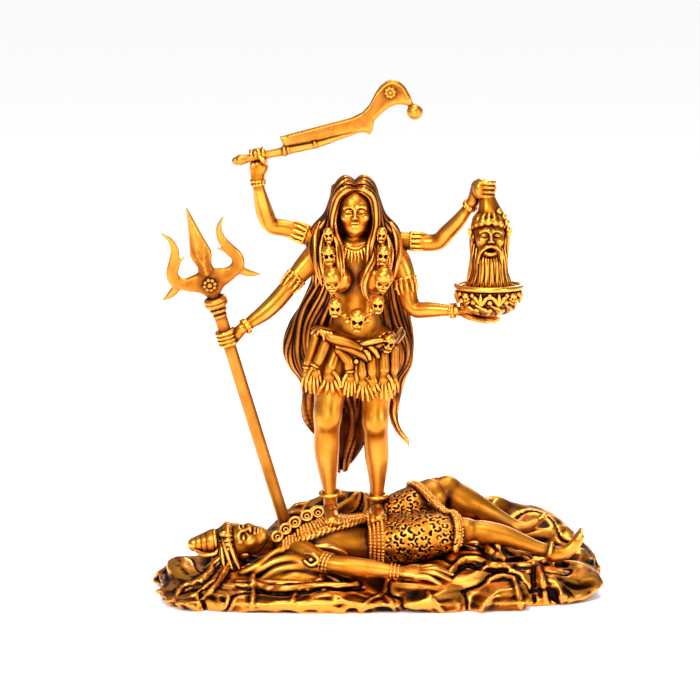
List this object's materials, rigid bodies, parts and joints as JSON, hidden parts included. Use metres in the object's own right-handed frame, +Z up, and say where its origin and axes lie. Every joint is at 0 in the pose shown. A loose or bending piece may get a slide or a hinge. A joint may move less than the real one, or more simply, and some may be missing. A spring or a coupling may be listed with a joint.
{
  "type": "dashboard idol",
  "caption": "Small cast idol of a many-armed goddess with trident, sword, severed head and bowl, standing on a reclining god over a low rock base.",
  "frame": {"origin": "middle of the base's underside, in the plane it rests on", "axes": "+Z up through the goddess, +X to the viewer's right along the reclining god from head to feet, -Y out of the front"},
  "size_m": [0.132, 0.064, 0.1493],
  "materials": {
    "rock_bronze": "gloss",
    "figure_gold": "gloss",
    "satin_gold": "satin"
  },
  "bodies": {
    "root": {"rock_base": "rock_bronze", "goddess": "figure_gold", "trident": "satin_gold", "sword": "satin_gold", "severed_head": "figure_gold", "skull_bowl": "figure_gold"}
  },
  "joints": []
}
